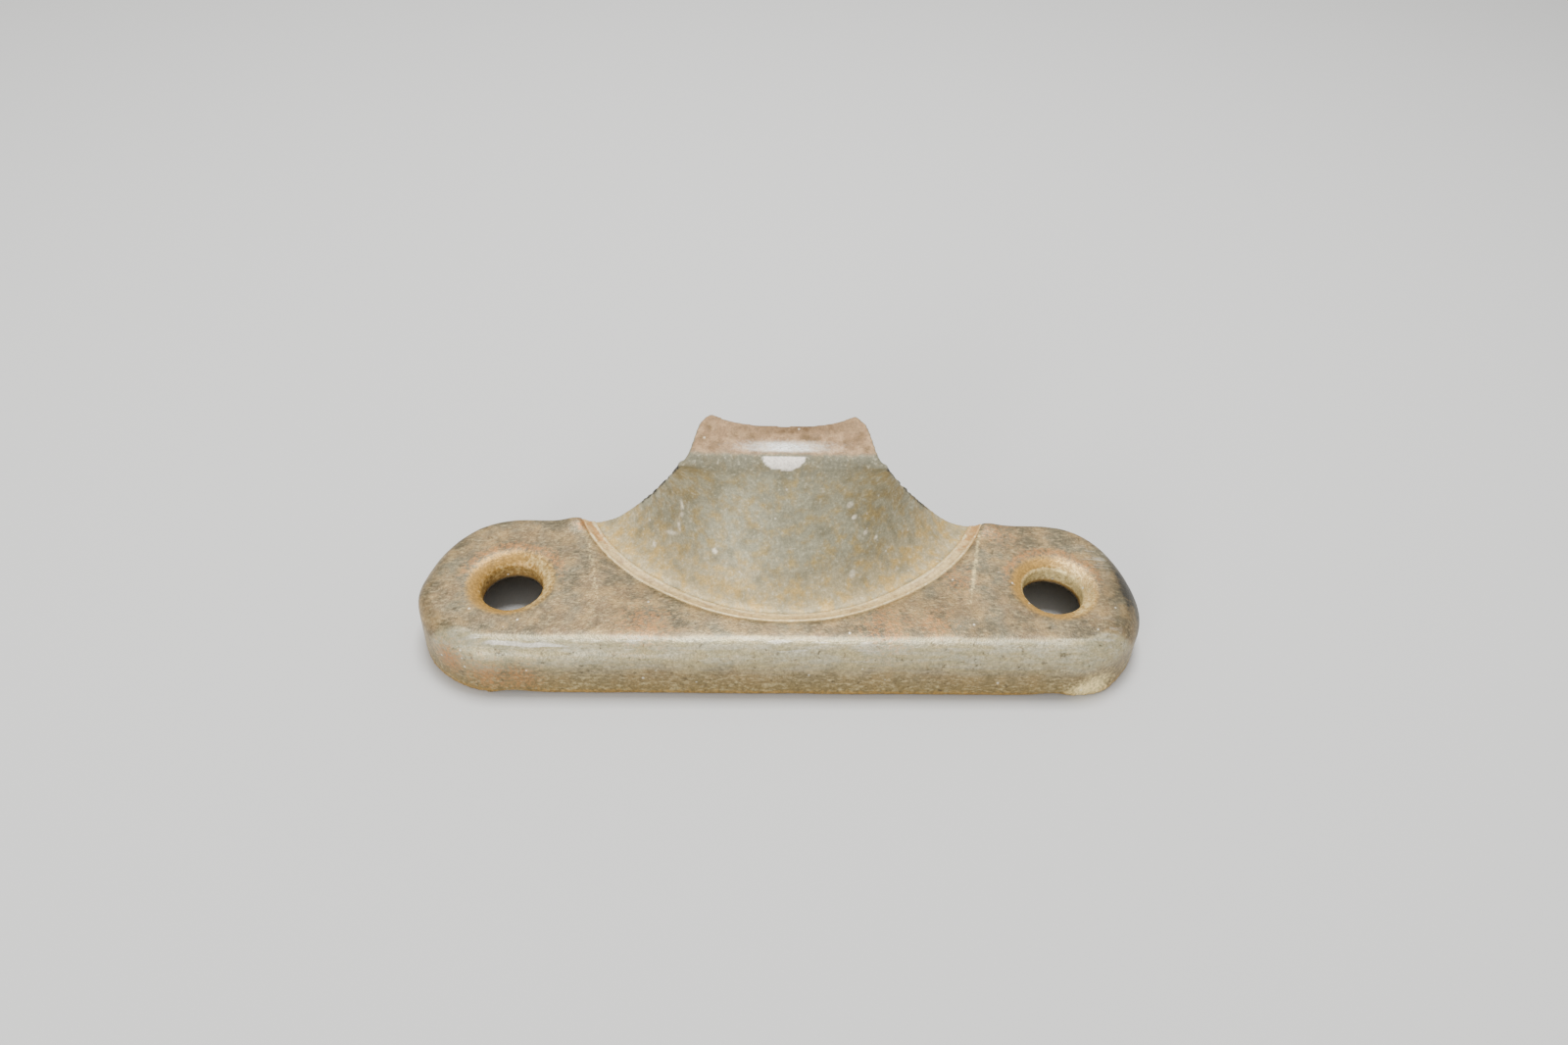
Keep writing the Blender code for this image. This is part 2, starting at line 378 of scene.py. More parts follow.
def shoe_rust(point, normal):
    """Red-brown stain: round the seats, at one corner, and in patches on plate and skirt."""
    ring = 0.55 * bump(hole_gap(point), 6.9 * MM, 1.0 * MM) * ramp(point.y, -2 * MM, 4 * MM)
    ring *= ramp(point.z, 7 * MM, 8 * MM)
    patches = (
        near(point, -28.9, 11.6, 8.9, 1.3), 0.75 * near(point, -44.6, -10.2, 4.9, 2.6),
        0.6 * near(point, -39.6, -12.4, 3.6, 3.2), 0.55 * near(point, -35.2, -12.7, 3.4, 3.0),
        0.5 * near(point, 13.5, -7.9, 8.7, 4.0), 0.45 * near(point, 24.8, 1.4, 8.7, 3.2),
        0.5 * near(point, 20.5, -7.0, 8.7, 3.0), 0.5 * near(point, -19.0, -7.6, 8.7, 4.0),
        0.45 * near(point, 31.5, 10.5, 8.7, 3.0),
    )
    return max(ring, *patches)


def tilt(normal):
    """How far a normal leans from upright, in degrees."""
    return math.degrees(math.acos(max(-1.0, min(1.0, normal.z))))


def shoe_sheen_band(point, normal):
    """Grey-green band along the rubbed front shoulder, fading out down the wall: a painted
    reflection of the light on a smooth film.
    """
    low = point.z + 0.8 * MM * roll(point, 5 * MM, 9.4) + 0.5 * MM * roll(point, 1.6 * MM, 2.9)
    band = ramp(tilt(normal), 4, 16) * ramp(low, 2.8 * MM, 6.8 * MM)
    return 0.9 * band * ramp(-point.y, 7.6 * MM, 8.8 * MM)


def shoe_scuff(point, normal):
    """Whitish rubs: a long one on the left of the front shoulder, and traces elsewhere."""
    shoulder = ramp(-point.y, 7 * MM, 8.5 * MM)
    upper = bump(tilt(normal), 21, 4) * bump(point.x, -39.6 * MM, 2.4 * MM)
    lower = bump(tilt(normal), 36 + 1.1 * (point.x / MM + 31), 5)
    lower *= ramp(point.x, -41 * MM, -38 * MM) * (1 - ramp(point.x, -30 * MM, -28 * MM))
    traces = 0.6 * bump(point.x, 4 * MM, 9 * MM) + 0.55 * bump(point.x, -21 * MM, 3 * MM)
    traces *= bump(tilt(normal), 24, 5) + 0.6 * bump(tilt(normal), 42, 4)
    end = 0.2 * near(point, 45.5, 6.0, 8.5, 2.4) + 0.2 * near(point, 43.5, -8.5, 7.4, 2.2)
    return max(shoulder * max(upper, lower, traces), end)


def shoe_crust_and_shade(point, normal):
    """Black-brown: painted shade over the whole inside and in a broad patch on the right end, and a
    dark crust, partly painted shade, on the right end's down-turned shoulder.
    """
    inner_wall = half_width - wall_thickness
    out = (point - spine(point)).xy.length
    # painted shade: the whole inside drawn dark
    inside = 1 - ramp(out, inner_wall, inner_wall + 0.5 * MM)
    inside *= 1 - ramp(point.z, 5.2 * MM, 5.8 * MM)
    around = math.degrees(math.atan2(point.y, point.x - half_straight))
    rag = 0.3 * roll(point, 2.6 * MM, 6.1) + 0.25 * roll(point, 0.9 * MM, 1.3)
    # partly real dark crust, partly painted shade where the right end's shoulder turns down
    end = bump(around, 5, 38) * ramp(tilt(normal), 3, 34) * ramp(point.x, 40 * MM, 46 * MM)
    end *= ramp(point.z, 3 * MM, 6 * MM)
    # painted shade: a broad dark patch over the right end
    painted_shading_patch = 0.4 * near(point, 46.8, -1.5, 8.6, 4.0)
    return max(0.75 * inside, end * (1.05 + rag), painted_shading_patch)


def linear(colour):
    """sRGB hex colour as the linear RGBA that shaders work in."""
    parts = [int(colour[place:place + 2], 16) / 255 for place in (1, 3, 5)]
    return [p / 12.92 if p <= 0.04045 else ((p + 0.055) / 1.055) ** 2.4 for p in parts] + [1.0]


def add(tree, kind, inputs, **settings):
    """Add a node, choose its settings, and set or link its inputs."""
    node = tree.nodes.new(kind)
    for name, value in settings.items():
        setattr(node, name, value)
    for name, value in inputs.items():
        if isinstance(value, bpy.types.NodeSocket):
            tree.links.new(value, node.inputs[name])
        else:
            node.inputs[name].default_value = value
    return node


def new_material(name):
    """An empty material, its nodes, and the place of each point in metres."""
    material = bpy.data.materials.new(name)
    material.use_nodes = True
    material.node_tree.nodes.clear()
    tree = material.node_tree
    return material, tree, add(tree, "ShaderNodeTexCoord", {}).outputs["Object"]


def clouds(tree, place, size, low, high, detail, share=1.0):
    """Patches about size across, from 0 to share, with the soft edge between low and high."""
    pattern = add(
        tree, "ShaderNodeTexNoise",
        {"Vector": place, "Scale": 1 / size, "Detail": detail, "Roughness": 0.55})
    return add(
        tree, "ShaderNodeMapRange",
        {"Value": pattern.outputs["Fac"], "From Min": low, "From Max": high, "To Max": share},
    ).outputs["Result"]


def ragged(tree, name, pattern, bite):
    """A mark kept on the mesh, eaten into by a pattern so that it ends in a ragged edge."""
    kept = add(tree, "ShaderNodeAttribute", {}, attribute_name=name).outputs["Fac"]
    gaps = add(
        tree, "ShaderNodeMath", {0: pattern, 1: bite, 2: -bite}, operation="MULTIPLY_ADD")
    left = add(tree, "ShaderNodeMath", {0: kept, 1: gaps.outputs[0]}, operation="ADD")
    return add(
        tree, "ShaderNodeMapRange", {"Value": left.outputs[0], "From Max": 1 - 0.6 * bite},
    ).outputs["Result"]


def patchy(tree, name, pattern, share):
    """A mark kept on the mesh, broken up into the patches of a pattern, times share."""
    kept = add(tree, "ShaderNodeAttribute", {}, attribute_name=name).outputs["Fac"]
    patches = add(tree, "ShaderNodeMath", {0: kept, 1: pattern}, operation="MULTIPLY")
    return add(
        tree, "ShaderNodeMath", {0: patches.outputs[0], 1: share}, operation="MULTIPLY",
    ).outputs[0]


def flecks(tree, place, spacing, share):
    """Pale grains of sand left in the skin, one in about five of cells spacing across."""
    cells = add(tree, "ShaderNodeTexVoronoi", {"Vector": place, "Scale": 1 / spacing})
    grains = add(
        tree, "ShaderNodeMapRange",
        {"Value": cells.outputs["Distance"], "From Min": 0.13, "From Max": 0.06, "To Max": share})
    chosen = add(tree, "ShaderNodeSeparateColor", {"Color": cells.outputs["Color"]})
    kept = add(
        tree, "ShaderNodeMath", {0: chosen.outputs["Red"], 1: 0.8}, operation="GREATER_THAN")
    return add(
        tree, "ShaderNodeMath", {0: grains.outputs["Result"], 1: kept.outputs[0]},
        operation="MULTIPLY").outputs[0]


def coats(tree, ground, layers):
    """Lay colours over the ground in turn, each where its share is 1."""
    for colour, share in layers:
        ground = add(
            tree, "ShaderNodeMix", {0: share, 6: ground, 7: linear(colour)},
            data_type="RGBA").outputs[2]
    return ground


def grain(tree, colour, pattern, dark, light):
    """Shade a colour by a fine pattern, from dark to light times itself."""
    shade = add(
        tree, "ShaderNodeMapRange", {"Value": pattern, "To Min": dark, "To Max": light})
    return add(
        tree, "ShaderNodeVectorMath", {0: colour, 1: shade.outputs["Result"]},
        operation="MULTIPLY").outputs[0]


# Sand-cast bronze left outdoors: grey-green and brown oxide in blotches, ochre and pale grit
# in the pores of the sand skin, painted shade duller and browner down the skirt, yellow where it
# has rubbed.
# The oxide hides most of the metal, so it is only part metallic, with a soft satin shine. The
# sand skin's real grains are near 0.1 mm; they are drawn at 0.24 mm, as fine as shows.
def cast_bronze():
    material, tree, place = new_material("weathered_sand_cast_bronze")
    blotch = clouds(tree, place, 6 * MM, 0.42, 0.6, 3, 0.8)
    mottle = clouds(tree, place, 2.8 * MM, 0.44, 0.62, 4, 0.8)
    shade = clouds(tree, place, 3.4 * MM, 0.47, 0.64, 5, 0.9)
    pits = clouds(tree, place, 0.8 * MM, 0.6, 0.72, 3, 0.7)
    grit = clouds(tree, place, 0.5 * MM, 0.36, 0.64, 2)
    sand = clouds(tree, place, 0.24 * MM, 0.3, 0.7, 1)
    drawn_long = add(tree, "ShaderNodeMapping", {"Vector": place, "Scale": (0.16, 1, 1)})
    rubs = clouds(tree, drawn_long.outputs["Vector"], 0.7 * MM, 0.42, 0.6, 3)
    drawn_out = add(tree, "ShaderNodeMapping", {"Vector": place, "Scale": (0.5, 1, 1)})
    dust = clouds(tree, drawn_out.outputs["Vector"], 0.4 * MM, 0.5, 0.72, 4, 0.6)
    height = add(tree, "ShaderNodeSeparateXYZ", {"Vector": place}).outputs["Z"]
    # painted shade: the skirt drawn duller and browner towards the floor
    skirt_painted_shade = add(
        tree, "ShaderNodeMapRange",
        {"Value": height, "From Min": 7.4 * MM, "From Max": 1.4 * MM, "To Max": 0.85})
    drift = add(
        tree, "ShaderNodeMath", {0: skirt_painted_shade.outputs["Result"], 1: dust}, operation="MULTIPLY")
    colour = coats(tree, linear("#866f4d"), [
        ("#78735c", blotch),
        ("#a28658", mottle),
        ("#615842", shade),
        # painted reflection: the grey-green band on the front shoulder, with stains and real rubs
        # on it
        ("#b5ad88", ragged(tree, "film_and_sheen", mottle, 0.35)),
        ("#a38c58", patchy(tree, "film_and_sheen", mottle, 0.6)),
        ("#cdc8b4", patchy(tree, "film_and_sheen", rubs, 0.4)),
        # painted shade down the skirt
        ("#857246", skirt_painted_shade.outputs["Result"]),
        ("#4c412c", pits),
        ("#b8a477", dust),
        ("#c9b886", drift.outputs[0]),
        ("#a8733a", ragged(tree, "rust", grit, 0.45)),
        ("#b38b45", ragged(tree, "gold", grit, 0.35)),
        # painted highlights on the seats, throats and folds, and one real chip
        ("#f3dc9c", ragged(tree, "chip_and_highlight", grit, 0.35)),
        ("#dcd5c3", ragged(tree, "scuff", rubs, 0.7)),
        # painted shade inside and on the right end, with some real crust there
        ("#2f2b21", ragged(tree, "soot_and_shade", grit, 0.3)),
        ("#e6dfcc", flecks(tree, place, 1.7 * MM, 0.85)),
    ])
    colour = grain(tree, colour, grit, 0.82, 1.12)
    colour = grain(tree, colour, sand, 0.84, 1.14)
    film_and_sheen = add(tree, "ShaderNodeAttribute", {}, attribute_name="film_and_sheen").outputs["Fac"]
    satin = add(tree, "ShaderNodeMapRange", {"Value": film_and_sheen, "To Min": 0.46, "To Max": 0.42})
    skin = add(
        tree, "ShaderNodeMath", {0: grit, 1: 0.6, 2: sand}, operation="MULTIPLY_ADD")
    bumps = add(
        tree, "ShaderNodeBump",
        {"Height": skin.outputs[0], "Strength": 0.5, "Distance": 0.03 * MM})
    surface = add(
        tree, "ShaderNodeBsdfPrincipled",
        {"Base Color": colour, "Metallic": 0.4, "Roughness": satin.outputs["Result"],
         "Normal": bumps.outputs["Normal"]})
    add(tree, "ShaderNodeOutputMaterial", {"Surface": surface.outputs["BSDF"]})
    return material


shoe = new_piece("shoe_casting", shoe_block())
cast_in_one(shoe, casting_grain, [
    ("DIFFERENCE", shoe_cavity()), ("UNION", boss(-1)), ("UNION", boss(1)),
    ("DIFFERENCE", cutout_disc()), ("DIFFERENCE", left_hole()), ("DIFFERENCE", right_hole()),
])
relax(shoe, 2)
work(shoe, shoe_wear)
for name, share in (
        ("gold", shoe_gold), ("chip_and_highlight", shoe_highlights_and_chip), ("rust", shoe_rust),
        ("film_and_sheen", shoe_sheen_band), ("scuff", shoe_scuff), ("soot_and_shade", shoe_crust_and_shade)):
    mark(shoe, name, share)
shoe.data.materials.append(cast_bronze())
shoe.data.shade_smooth()
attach(shoe, "root")
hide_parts("base_shoe")


# ----------------------------------------------------------------------------------------------
# Horn: a curved bronze plate. Its foot is an arc, its face sweeps back and up to a rounded ridge,
# and a flat lip runs back from the ridge to a hollowed tip. The side edges are torn and unfiled.
# ----------------------------------------------------------------------------------------------
foot_radius = 30.7 * MM
foot_z = 8.2 * MM
flare_height = 17.3 * MM
flare_reach = 10.25 * MM
flare_narrowing = 14.3 * MM
narrowing_power = 0.9
flare_power = 1.8
edge_forward = 7.6 * MM
edge_power = 3.5
ridge_radius = 2.6 * MM
lip_slope = math.radians(13)
ridge_narrowing = 1.4 * MM
lip_taper = 1.4 * MM
tip_hollow = 2.0 * MM
corner_loss = 1.3 * MM              # knocked off each of the tip's two corners
left_lean = 0.69 * MM               # how far the ridge stands left of the foot
plate_gauge = 2.4 * MM
edge_gauge = 0.8 * MM
face_top = 26.7 * MM                # where the face ends and the ridge begins to show
flare_share = 0.72                  # share of the sheet's length in the face
ridge_share = 0.12                  # and in the ridge; the rest is lip
horn_grain = 0.26 * MM


def level_arc(across, half, middle_y, edge_y):
    """Point on the circular arc through a level's middle and its two edges."""
    bulge = edge_y - middle_y
    radius = (half ** 2 + bulge ** 2) / (2 * bulge)
    turn = math.asin(half / radius) * across
    return radius * math.sin(turn), middle_y + radius * (1 - math.cos(turn))


def torn_edge(along, side):
    """How far the side edge is eaten in, as it runs up the horn."""
    place = Vector((along * 34, side * 5.0, 0))
    coarse = 0.25 * MM * max(0.0, noise.noise(place))
    teeth = 0.45 * MM * abs(noise.noise(place * 3.1))
    return (coarse + teeth) * ramp(along, 0.06, 0.2) * (1 - ramp(along, 0.6, flare_share))


def horn_half_width(lean):
    """Half-width of the face, for lean from foot 0 to ridge 1."""
    foot_half = math.sqrt(foot_radius ** 2 - (arc_centre.y - back_y) ** 2)
    return foot_half - flare_narrowing * lean ** narrowing_power


def horn_point(across, along):
    """Place on the horn's face for across from -1 to 1 and along from foot 0 to tip 1."""
    steepest = math.atan(flare_power * flare_height / flare_reach)
    lean = min(1.0, along / flare_share)
    bent = max(0.0, min(1.0, (along - flare_share) / ridge_share))
    out = max(0.0, (along - flare_share - ridge_share) / (1 - flare_share - ridge_share))
    slope = steepest + (lip_slope - steepest) * bent
    risen = (math.cos(slope) - math.cos(steepest)) / (math.cos(lip_slope) - math.cos(steepest))
    half = horn_half_width(lean) - ridge_narrowing * risen - lip_taper * out
    half -= torn_edge(along, math.copysign(1, across)) * abs(across) ** 3
    half -= corner_loss * ramp(out, 0.55, 1.1) ** 2
    x, y = level_arc(
        across, half, arc_centre.y - foot_radius + flare_reach * lean,
        back_y - edge_forward * lean ** edge_power)
    z = foot_z + flare_height * lean ** flare_power
    y += ridge_radius * (math.sin(steepest) - math.sin(slope))
    z += ridge_radius * (math.cos(slope) - math.cos(steepest))
    tip_y = back_y - 0.05 * MM - tip_hollow * (1 - abs(across) ** 2.6)
    back = (tip_y - y) * out
    return Vector((x - left_lean * lean ** 2, y + back, z + back * math.tan(lip_slope)))


def edge_gap(point):
    """Distance in from the side edge of the face, level by level."""
    lean = max(0.0, min(1.0, (point.z - foot_z) / flare_height)) ** (1 / flare_power)
    past = ramp(point.z, 25.4 * MM, 27.1 * MM)
    half = horn_half_width(lean) - ridge_narrowing * past
    return half - abs(point.x + left_lean * lean ** 2)


def horn_sheet():
    """The face and, behind it, a copy that closes in on it towards the thin side edges."""
    shape = bmesh.new()
    bmesh.ops.create_grid(shape, x_segments=150, y_segments=150, size=1)
    for vert in shape.verts:
        vert.co = horn_point(vert.co.x, (vert.co.y + 1) / 2)
    shape.normal_update()
    whole = shape.verts[:] + shape.edges[:] + shape.faces[:]
    back = bmesh.ops.duplicate(shape, geom=whole)["geom"]
    back_verts = [part for part in back if isinstance(part, bmesh.types.BMVert)]
    settled = []
    for vert in back_verts:
        gauge = edge_gauge + (plate_gauge - edge_gauge) * ramp(edge_gap(vert.co), 0, 3 * MM)
        settled.append(vert.co - vert.normal * gauge)
    for vert, place in zip(back_verts, settled):
        vert.co = place
    bmesh.ops.reverse_faces(
        shape, faces=[part for part in back if isinstance(part, bmesh.types.BMFace)])
    bmesh.ops.bridge_loops(shape, edges=[edge for edge in shape.edges if edge.is_boundary])
    bmesh.ops.recalc_face_normals(shape, faces=shape.faces)
    bmesh.ops.bisect_plane(
        shape, geom=shape.verts[:] + shape.edges[:] + shape.faces[:],
        plane_co=(0, back_y, 0), plane_no=(0, 1, 0), clear_outer=True)
    return close_up(shape)


def horn_wear(point, normal):
    """The foot follows the joint's line, and the whole plate is a little uneven."""
    draw = Vector((0, drawn_in(point.x) * (1 - ramp(point.z, 9 * MM, 16 * MM)), 0))
    slow = 0.07 * MM * roll(point, 8 * MM, 2.2) + 0.035 * MM * roll(point, 3 * MM, 5.5)
    fine = 0.015 * MM * roll(point, 1.2 * MM, 1.9)
    return draw + normal * (slow + fine)


def lip_share(point, normal):
    """The lip and the top of the ridge, behind the wavering line where the face begins."""
    line = face_top + 0.2 * MM + 0.18 * MM * roll(point, 1.4 * MM, 3.1)
    return ramp(point.z, line - 0.3 * MM, line + 0.3 * MM) * ramp(normal.z, 0.75, 0.93)


def tip_share(point, normal):
    """A darker brown streak along the middle of the lip's back edge."""
    hollow = back_y - tip_hollow * (1 - (abs(point.x) / (16 * MM)) ** 2.6)
    edge = ramp(point.y, hollow - 2.2 * MM, hollow - 0.8 * MM)
    return 0.8 * edge * bump(point.x, 0.5 * MM, 9 * MM) * ramp(point.z, 26.8 * MM, 27.2 * MM)


def side_share(point, normal):
    """Towards the side edges, where the brown shows through the film."""
    return 1 - ramp(edge_gap(point), 0.5 * MM, 8 * MM)


def torn_edge_shade_share(point, normal):
    """The torn edge itself, with painted shade drawn black along it."""
    edge = 1 - ramp(edge_gap(point), 0.1 * MM, 0.55 * MM)
    return edge * ramp(point.z, 10 * MM, 13 * MM) * (1 - ramp(point.z, 24.5 * MM, 25.5 * MM))


def paint_share(point, normal):
    """A flake of white paint on the front of the ridge, with a drooping lower edge."""
    droop = max(0.0, 1 - ((point.x + 0.65 * MM) / (2.9 * MM)) ** 2)
    rag = 0.3 * MM * roll(point, 1.1 * MM, 6.6) + 0.15 * MM * roll(point, 0.5 * MM, 2.4)
    low = face_top - 1.45 * MM * droop ** 0.7 + rag
    inside = ramp(point.z, low - 0.08 * MM, low + 0.08 * MM) * ramp(droop, 0.0, 0.06)
    return inside * (1 - ramp(point.z, face_top, face_top + 0.1 * MM)) * ramp(-normal.y, 0.3, 0.4)


def worn_sheen_share(point, normal):
    """The middle of the ridge, rubbed smooth by rope, with a blue-grey painted highlight on it."""
    ridge = ramp(point.z, 26.95 * MM, 27.2 * MM) * (1 - ramp(point.y, 7.4 * MM, 8.8 * MM))
    return ridge * bump(point.x, -0.5 * MM, 6 * MM)


def dab(point, x, z, reach):
    """A small spot on the face, given in millimetres as seen from the front."""
    gap = math.hypot(point.x - x * MM, point.z - z * MM)
    return 1 - ramp(gap, 0.45 * reach * MM, 0.85 * reach * MM)


def scratch_share(point, normal):
    """Pale knocks: a wavering scratch, a short dash and a few dots."""
    waver = point.x + 14.6 * MM + 0.3 * MM * math.sin(point.z / (0.7 * MM))
    scratch = bump(waver, 0, 0.2 * MM) * ramp(point.z, 13.2 * MM, 13.8 * MM)
    scratch *= (1 - ramp(point.z, 17.6 * MM, 18.2 * MM)) * ramp(roll(point, 0.8 * MM), -0.5, 0.1)
    dash = bump(point.z - 0.45 * (point.x + 16 * MM), 12.6 * MM, 0.22 * MM)
    dash *= bump(point.x, -16.1 * MM, 0.7 * MM)
    dots = (
        dab(point, -9.8, 13.1, 0.5), 0.6 * dab(point, 8.5, 19.6, 0.7), dab(point, 9.2, 17.7, 0.5),
        0.45 * dab(point, 9.2, 10.7, 0.7), 0.8 * dab(point, 10.9, 15.1, 0.4),
        0.8 * dab(point, 12.5, 13.9, 0.4), 0.6 * dab(point, -18.5, 10.1, 0.4),
    )
    return max(0.8 * scratch, 0.8 * dash, *dots) * ramp(-normal.y, 0.0, 0.2)


# Bronze plate with a grown patina: a thin grey-green film over brown, rubbed to reddish brown on
# the lip, sandy and browner towards the sides, with a satin sheen on the worn ridge. Painted light
# and shade: paler and yellower towards the foot, a blue-grey highlight along the worn ridge, darker
# just below the ridge, and near black along the torn edges.
# The film is duller and finer than the casting's skin; the paint on it has no metal in it.
def plate_bronze():
    material, tree, place = new_material("patinated_bronze_plate")
    blotch = clouds(tree, place, 5 * MM, 0.4, 0.62, 3, 0.75)
    mottle = clouds(tree, place, 1.5 * MM, 0.44, 0.62, 5)
    ochre = clouds(tree, place, 1.5 * MM, 0.46, 0.66, 7, 0.8)
    shade = clouds(tree, place, 2.0 * MM, 0.5, 0.66, 5, 0.6)
    grit = clouds(tree, place, 0.5 * MM, 0.36, 0.64, 2)
    dust = clouds(tree, place, 0.5 * MM, 0.58, 0.7, 3, 0.45)
    sand = clouds(tree, place, 0.24 * MM, 0.3, 0.7, 1)
    height = add(tree, "ShaderNodeSeparateXYZ", {"Vector": place}).outputs["Z"]
    # painted light: the face drawn paler and yellower towards its flatter foot
    foot_painted_light = add(
        tree, "ShaderNodeMapRange",
        {"Value": height, "From Min": 13.5 * MM, "From Max": 8.4 * MM, "To Max": 0.6})
    # the same painted light, broken into patches
    painted_shading_patch = add(
        tree, "ShaderNodeMath", {0: foot_painted_light.outputs["Result"], 1: mottle}, operation="MULTIPLY")
    # painted shade: the face drawn darker just below the ridge
    brow_painted_shade = add(
        tree, "ShaderNodeMapRange",
        {"Value": height, "From Min": 23.5 * MM, "From Max": 26.2 * MM, "To Max": 0.7})
    lip = add(tree, "ShaderNodeAttribute", {}, attribute_name="lip").outputs["Fac"]
    worn_and_sheen = add(tree, "ShaderNodeAttribute", {}, attribute_name="worn_and_sheen").outputs["Fac"]
    paint = add(tree, "ShaderNodeAttribute", {}, attribute_name="paint").outputs["Fac"]
    scratch = add(tree, "ShaderNodeAttribute", {}, attribute_name="scratch").outputs["Fac"]
    colour = coats(tree, linear("#a9a488"), [
        ("#979278", blotch),
        ("#b39a5e", ochre),
        ("#998a64", patchy(tree, "side", mottle, 0.75)),
        ("#c4ab76", foot_painted_light.outputs["Result"]),
        ("#cda655", painted_shading_patch.outputs[0]),
        ("#7b765c", shade),
        ("#77735f", brow_painted_shade.outputs["Result"]),
        ("#c6bfa5", dust),
        ("#997b59", ragged(tree, "lip", grit, 0.2)),
        ("#745c3c", patchy(tree, "lip", shade, 1.6)),
        ("#bf9f78", patchy(tree, "lip", mottle, 0.7)),
        ("#6f5536", ragged(tree, "tip", mottle, 0.5)),
        # painted highlight: blue-grey sheen on the rubbed ridge
        ("#94938c", ragged(tree, "worn_and_sheen", grit, 0.3)),
        # painted shade: the torn edges drawn near black
        ("#1a1712", ragged(tree, "edge", grit, 0.5)),
        ("#fff5e6", paint),
        ("#f6ecd2", scratch),
        ("#d8d0ba", flecks(tree, place, 1.6 * MM, 0.7)),
    ])
    colour = grain(tree, colour, grit, 0.84, 1.1)
    colour = grain(tree, colour, sand, 0.86, 1.14)
    dull = add(tree, "ShaderNodeMapRange", {"Value": lip, "To Min": 0.52, "To Max": 0.75})
    smooth = add(
        tree, "ShaderNodeMath", {0: worn_and_sheen, 1: -0.4, 2: dull.outputs["Result"]},
        operation="MULTIPLY_ADD")
    metal = add(tree, "ShaderNodeMapRange", {"Value": paint, "To Min": 0.35, "To Max": 0.0})
    skin = add(
        tree, "ShaderNodeMath", {0: grit, 1: 0.6, 2: sand}, operation="MULTIPLY_ADD")
    bumps = add(
        tree, "ShaderNodeBump",
        {"Height": skin.outputs[0], "Strength": 0.45, "Distance": 0.02 * MM})
    surface = add(
        tree, "ShaderNodeBsdfPrincipled",
        {"Base Color": colour, "Metallic": metal.outputs["Result"],
         "Roughness": smooth.outputs[0], "Normal": bumps.outputs["Normal"]})
    add(tree, "ShaderNodeOutputMaterial", {"Surface": surface.outputs["BSDF"]})
    return material


horn = new_piece("horn_plate", horn_sheet())
cast_in_one(horn, horn_grain)
relax(horn, 2)
work(horn, horn_wear)
for name, share in (
        ("lip", lip_share), ("tip", tip_share), ("side", side_share), ("edge", torn_edge_shade_share),
        ("worn_and_sheen", worn_sheen_share), ("paint", paint_share), ("scratch", scratch_share)):
    mark(horn, name, share)
horn.data.materials.append(plate_bronze())
horn.data.shade_smooth()
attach(horn, "root")
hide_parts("horn")


# ----------------------------------------------------------------------------------------------
# Braze bead: yellow filler run into the arc between shoe and horn. It slopes from the plate down
# to the horn's foot, with a thin raised line along each side, and is scorched at both ends.
# ----------------------------------------------------------------------------------------------
braze_bottom = 5.8 * MM
braze_swing = math.radians(72)
braze_grain = 0.2 * MM


def braze_run():
    """The bead's cross-section, swept round the joint and cut off at the back."""
    shape = bmesh.new()
    inner = foot_radius - 0.35 * MM
    outer = cutout_radius + 0.3 * MM
    section = [
        (inner, foot_z - 0.25 * MM), (inner + 0.25 * MM, foot_z + 0.09 * MM),
        (inner + 0.6 * MM, foot_z + 0.02 * MM), (outer - 0.75 * MM, shoe_top - 0.22 * MM),
        (outer - 0.3 * MM, shoe_top + 0.06 * MM), (outer, shoe_top - 0.25 * MM),
        (outer - 0.4 * MM, braze_bottom), (inner + 0.4 * MM, braze_bottom),
    ]
    verts = [shape.verts.new((0, arc_centre.y - radius, z)) for radius, z in section]
    start = [shape.faces.new(verts)]
    bmesh.ops.rotate(
        shape, verts=verts, cent=arc_centre, matrix=Matrix.Rotation(-braze_swing, 3, "Z"))
    bmesh.ops.spin(
        shape, geom=start, cent=arc_centre, axis=(0, 0, 1), dvec=(0, 0, 0),
        angle=2 * braze_swing, steps=260, use_merge=False, use_duplicate=False)
    bmesh.ops.bisect_plane(
        shape, geom=shape.verts[:] + shape.edges[:] + shape.faces[:],
        plane_co=(0, back_y, 0), plane_no=(0, 1, 0), clear_outer=True)
    return close_up(shape)


def braze_wear(point, normal):
    """Fine ripples of the filler, and the same drawing in and falling away as the plate."""
    ripple = 0.04 * MM * roll(point, 1.6 * MM, 3.3) + 0.03 * MM * roll(point, 0.7 * MM, 8.8)
    drop = wash_drop(point) * ramp((point - arc_centre).xy.length, foot_radius, cutout_radius)
    return normal * ripple + Vector((0, drawn_in(point.x), -drop))


def bead_line(point, normal):
    """The two raised lines along the bead, where it is brightest."""
    out = (point - arc_centre - Vector((0, drawn_in(point.x), 0))).xy.length
    inner = bump(out, foot_radius + 0.05 * MM, 0.22 * MM)
    return inner + 0.85 * bump(out, cutout_radius + 0.05 * MM, 0.22 * MM)


def bead_end(point, normal):
    """Where the filler pooled and scorched at the two back corners."""
    return ramp(point.y, 3 * MM, 11 * MM)


